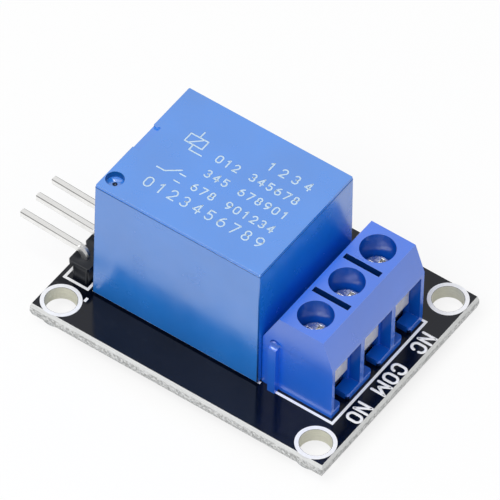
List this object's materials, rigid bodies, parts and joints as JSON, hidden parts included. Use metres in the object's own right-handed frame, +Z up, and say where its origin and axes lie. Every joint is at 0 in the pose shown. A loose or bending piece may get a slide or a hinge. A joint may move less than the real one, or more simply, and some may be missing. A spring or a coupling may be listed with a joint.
{
  "type": "relay module board",
  "caption": "Small black circuit board that carries a blue cube relay, a blue screw terminal block and a bent pin header, with a mounting hole in each corner.",
  "frame": {"origin": "centre of the four mounting holes on the underside of the board", "axes": "+X along the board to the screw terminals, +Z up out of the component side"},
  "size_m": [0.0397, 0.026, 0.0187],
  "materials": {
    "board": "black solder mask over pale glass laminate with bare cut edges",
    "solder": "bright tin solder",
    "relay_plastic": "satin moulded blue plastic",
    "bobbin_plastic": "natural moulded plastic",
    "copper": "enamelled copper wire",
    "magnet_steel": "plated soft iron",
    "contact_brass": "spring bronze and silver contacts",
    "tinned_metal": "tin plated",
    "terminal_plastic": "satin moulded deep blue plastic",
    "header_plastic": "moulded black plastic",
    "screw_steel": "bright zinc plated",
    "guard_steel": "bright spring steel",
    "chip_black": "moulded black",
    "lamp_base": "white laminate",
    "lamp_red": "clear tinted resin",
    "lamp_green": "clear tinted resin"
  },
  "bodies": {
    "root": {"circuit_board": "board", "solder_joints": "solder", "relay_case": "relay_plastic", "relay_base": "relay_plastic", "relay_bobbin": "bobbin_plastic", "relay_winding": "copper", "relay_core": "magnet_steel", "relay_yoke": "magnet_steel", "relay_contact_nc": "contact_brass", "relay_contact_no": "contact_brass", "relay_pin_com": "tinned_metal", "relay_pin_coil_1": "tinned_metal", "relay_pin_coil_2": "tinned_metal", "terminal_housing": "terminal_plastic", "header_base": "header_plastic", "base_resistor": "chip_black", "lamp_resistor": "chip_black", "resistor_caps": "solder", "power_led_base": "lamp_base", "status_led_base": "lamp_base", "power_led_lens": "lamp_red", "status_led_lens": "lamp_green", "transistor_body": "chip_black", "transistor_leads": "tinned_metal", "diode_body": "chip_black", "diode_leads": "tinned_metal", "terminal_contact_1": "tinned_metal", "header_pin_1": "tinned_metal", "terminal_contact_2": "tinned_metal", "header_pin_2": "tinned_metal", "terminal_contact_3": "tinned_metal", "header_pin_3": "tinned_metal"},
    "armature": {"relay_armature": "magnet_steel", "relay_contact_spring": "contact_brass", "relay_moving_contact": "contact_brass"},
    "clamp_1": {"terminal_guard_1": "guard_steel"},
    "screw_1": {"terminal_screw_1": "screw_steel"},
    "clamp_2": {"terminal_guard_2": "guard_steel"},
    "screw_2": {"terminal_screw_2": "screw_steel"},
    "clamp_3": {"terminal_guard_3": "guard_steel"},
    "screw_3": {"terminal_screw_3": "screw_steel"}
  },
  "joints": [
    {"name": "armature_hinge", "type": "hinge", "parent": "root", "child": "armature", "pos_m": [-0.0102, -0.0007, 0.01285], "axis": [0, 1, 0], "range_deg": [0, 2], "stiffness_Nm_per_rad": 0.01, "springref_deg": -5.73},
    {"name": "clamp_slide_1", "type": "slide", "parent": "root", "child": "clamp_1", "axis": [0, 0, 1], "range_m": [-0.0007, 0.0019]},
    {"name": "screw_turn_1", "type": "hinge", "parent": "clamp_1", "child": "screw_1", "pos_m": [0.01055, -0.00532, 0], "axis": [0, 0, 1], "range_deg": [-561, 1521]},
    {"name": "clamp_slide_2", "type": "slide", "parent": "root", "child": "clamp_2", "axis": [0, 0, 1], "range_m": [-0.0007, 0.0019]},
    {"name": "screw_turn_2", "type": "hinge", "parent": "clamp_2", "child": "screw_2", "pos_m": [0.01055, -0.00024, 0], "axis": [0, 0, 1], "range_deg": [-561, 1521]},
    {"name": "clamp_slide_3", "type": "slide", "parent": "root", "child": "clamp_3", "axis": [0, 0, 1], "range_m": [-0.0007, 0.0019]},
    {"name": "screw_turn_3", "type": "hinge", "parent": "clamp_3", "child": "screw_3", "pos_m": [0.01055, 0.00484, 0], "axis": [0, 0, 1], "range_deg": [-561, 1521]}
  ],
  "couplings": [
    {"joint": "screw_turn_1", "follows": "clamp_slide_1", "rad_per_m": 13963},
    {"joint": "screw_turn_2", "follows": "clamp_slide_2", "rad_per_m": 13963},
    {"joint": "screw_turn_3", "follows": "clamp_slide_3", "rad_per_m": 13963}
  ]
}
